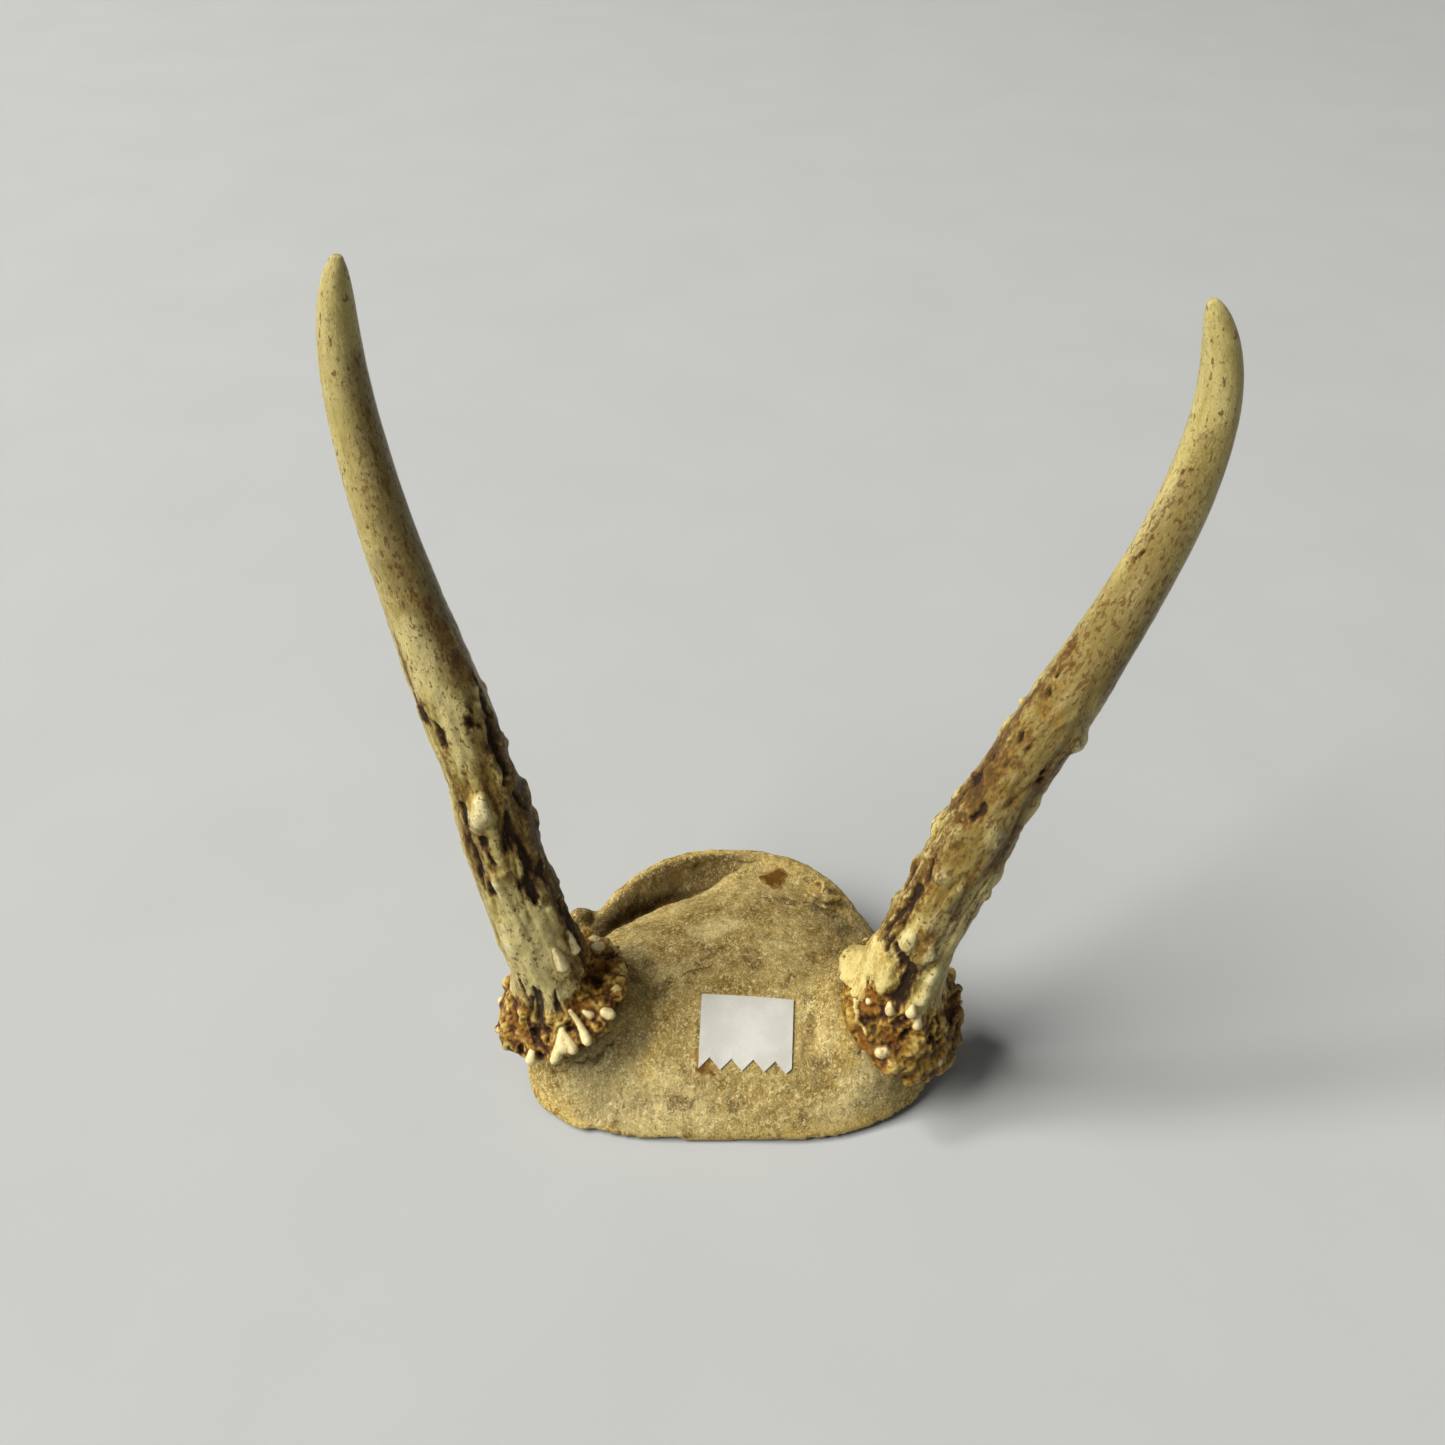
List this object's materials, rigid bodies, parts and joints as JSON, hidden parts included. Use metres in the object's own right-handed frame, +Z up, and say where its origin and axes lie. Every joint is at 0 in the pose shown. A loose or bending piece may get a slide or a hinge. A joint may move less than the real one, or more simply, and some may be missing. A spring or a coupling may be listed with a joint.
{
  "type": "deer antlers on a hide-covered skull plate",
  "caption": "Young buck's spike antlers with knobbly burrs, standing on a flat skull plate covered with its own dried hide, which carries a small blank paper label.",
  "frame": {"origin": "middle of the skull plate's flat sawn underside", "axes": "+Z up out of the plate towards the antler tips, -Y towards the brow, +X to the viewer's right when the brow faces the viewer"},
  "size_m": [0.1758, 0.0763, 0.1945],
  "materials": {
    "antler": "grown antler, satin ivory ridges and pearls with dark brown grooves",
    "bone": "sawn and dried bone, matt cream",
    "hide": "dried hide, matt tan nap with darker blotches",
    "paper": "white paper, matt and blank"
  },
  "bodies": {
    "root": {"antler_left": "antler", "antler_right": "antler", "skull_plate": "bone", "hide_cover": "hide", "paper_label": "paper"}
  },
  "joints": []
}
